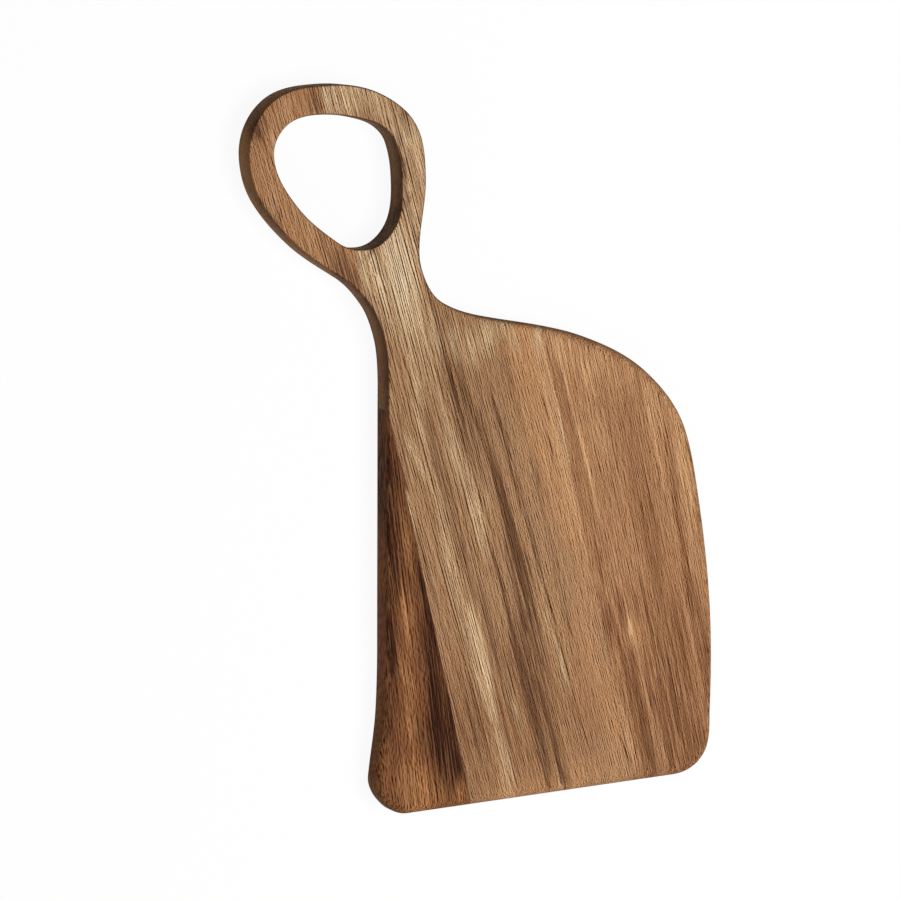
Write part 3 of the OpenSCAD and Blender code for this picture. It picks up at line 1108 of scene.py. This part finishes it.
def studio_floor(look):
    """A wide matt floor just under the board, white to the eye and grey as a reflector."""
    bpy.ops.object.select_all(action="DESELECT")
    bpy.ops.mesh.primitive_plane_add(size=FLOOR_WIDTH, location=(0, 0, -FLOOR_GAP))
    floor = bpy.context.active_object
    floor.name = "studio_floor"
    material = bpy.data.materials.new("matt_floor_paint")
    material.use_nodes = True
    tree = material.node_tree
    tree.nodes.clear()
    reflector = node(tree, "ShaderNodeBsdfDiffuse", {"Color": (*look.floor_paint, 1)})
    dimmed = node(tree, "ShaderNodeBsdfDiffuse", {"Color": (1, 1, 1, 1)})
    glow = node(tree, "ShaderNodeEmission", {"Color": (1, 1, 1, 1), "Strength": 1.0})
    shown = node(tree, "ShaderNodeMixShader", {
        0: look.floor_white, 1: dimmed.outputs[0], 2: glow.outputs[0]})
    either = node(tree, "ShaderNodeMixShader", {
        0: seen_direct(tree), 1: reflector.outputs[0], 2: shown.outputs[0]})
    node(tree, "ShaderNodeOutputMaterial", {"Surface": either.outputs[0]})
    floor.data.materials.append(material)


def studio_light(look):
    """One large soft light over the board, and a sky brighter on one side that looks white behind it."""
    bpy.ops.object.light_add(type="AREA", location=KEY_AT)
    key = bpy.context.active_object
    key.name = "key_light"
    key.data.shape = "DISK"
    key.data.size = KEY_WIDTH
    key.data.energy = look.key_power
    key.rotation_euler = (-KEY_AT).to_track_quat("-Z", "Y").to_euler()
    world = bpy.data.worlds.new("studio_sky")
    world.use_nodes = True
    tree = world.node_tree
    sky = tree.nodes["Background"]
    sky.inputs["Color"].default_value = (1, 1, 1, 1)
    around = node(tree, "ShaderNodeTexCoord")
    side = node(tree, "ShaderNodeVectorMath", {
        0: around.outputs["Generated"], 1: BRIGHT_SIDE}, operation="DOT_PRODUCT")
    soft = node(tree, "ShaderNodeMapRange", {
        "Value": side.outputs["Value"], "From Min": BRIGHT_FROM, "To Max": BRIGHT_GAIN * look.sky_level})
    level = node(tree, "ShaderNodeMapRange", {
        "Value": seen_direct(tree), "To Min": soft.outputs[0], "To Max": 1.0})
    tree.links.new(level.outputs[0], sky.inputs["Strength"])
    bpy.context.scene.world = world


def photo_camera(scene):
    """The photograph's view: a long lens from above and to the left."""
    back = CAMERA_TURN.to_matrix() @ Vector((0, 0, 1))
    bpy.ops.object.camera_add(location=CAMERA_AIM + CAMERA_DISTANCE * back, rotation=CAMERA_TURN)
    camera = bpy.context.active_object
    camera.name = "photo_camera"
    camera.data.lens = CAMERA_LENS
    camera.data.sensor_width = SENSOR
    scene.camera = camera


class BOARD_PT_sidebar(Panel):
    """Sizes, colours and steps of the serving board"""

    bl_idname = "BOARD_PT_sidebar"
    bl_label = "Serving Board"
    bl_space_type = "VIEW_3D"
    bl_region_type = "UI"
    bl_category = "Board"

    def draw(self, context):
        scene = context.scene
        for group in (scene.board_sizes, scene.board_colours, scene.board_studio):
            column = self.layout.column(align=True)
            for name in group.__annotations__:
                column.prop(group, name)
        for step in STEPS:
            self.layout.operator(step.bl_idname)


STEPS = (
    BOARD_OT_blank,
    BOARD_OT_loop_stave,
    BOARD_OT_middle_stave,
    BOARD_OT_right_stave,
    BOARD_OT_heel_stave,
    BOARD_OT_glue_lines,
    BOARD_OT_stage,
)
GROUPS = {"board_sizes": BoardSizes, "board_colours": WoodColours, "board_studio": StudioLook}


def register():
    """Adds the classes, and their settings to the scene."""
    for kind in (*GROUPS.values(), *STEPS, BOARD_PT_sidebar):
        bpy.utils.register_class(kind)
    for name, kind in GROUPS.items():
        setattr(bpy.types.Scene, name, PointerProperty(type=kind))


def unregister():
    """Takes away what register has added."""
    for name in GROUPS:
        delattr(bpy.types.Scene, name)
    for kind in (BOARD_PT_sidebar, *reversed(STEPS), *reversed(GROUPS.values())):
        bpy.utils.unregister_class(kind)


def main():
    """Makes the pieces and the stage in order."""
    register()
    bpy.ops.board.blank()
    bpy.ops.board.loop_stave()
    bpy.ops.board.middle_stave()
    bpy.ops.board.right_stave()
    bpy.ops.board.heel_stave()
    bpy.ops.board.glue_lines()
    bpy.ops.board.stage()
    bpy.data.objects.remove(bpy.data.objects[BLANK])


if __name__ == "__main__":
    main()
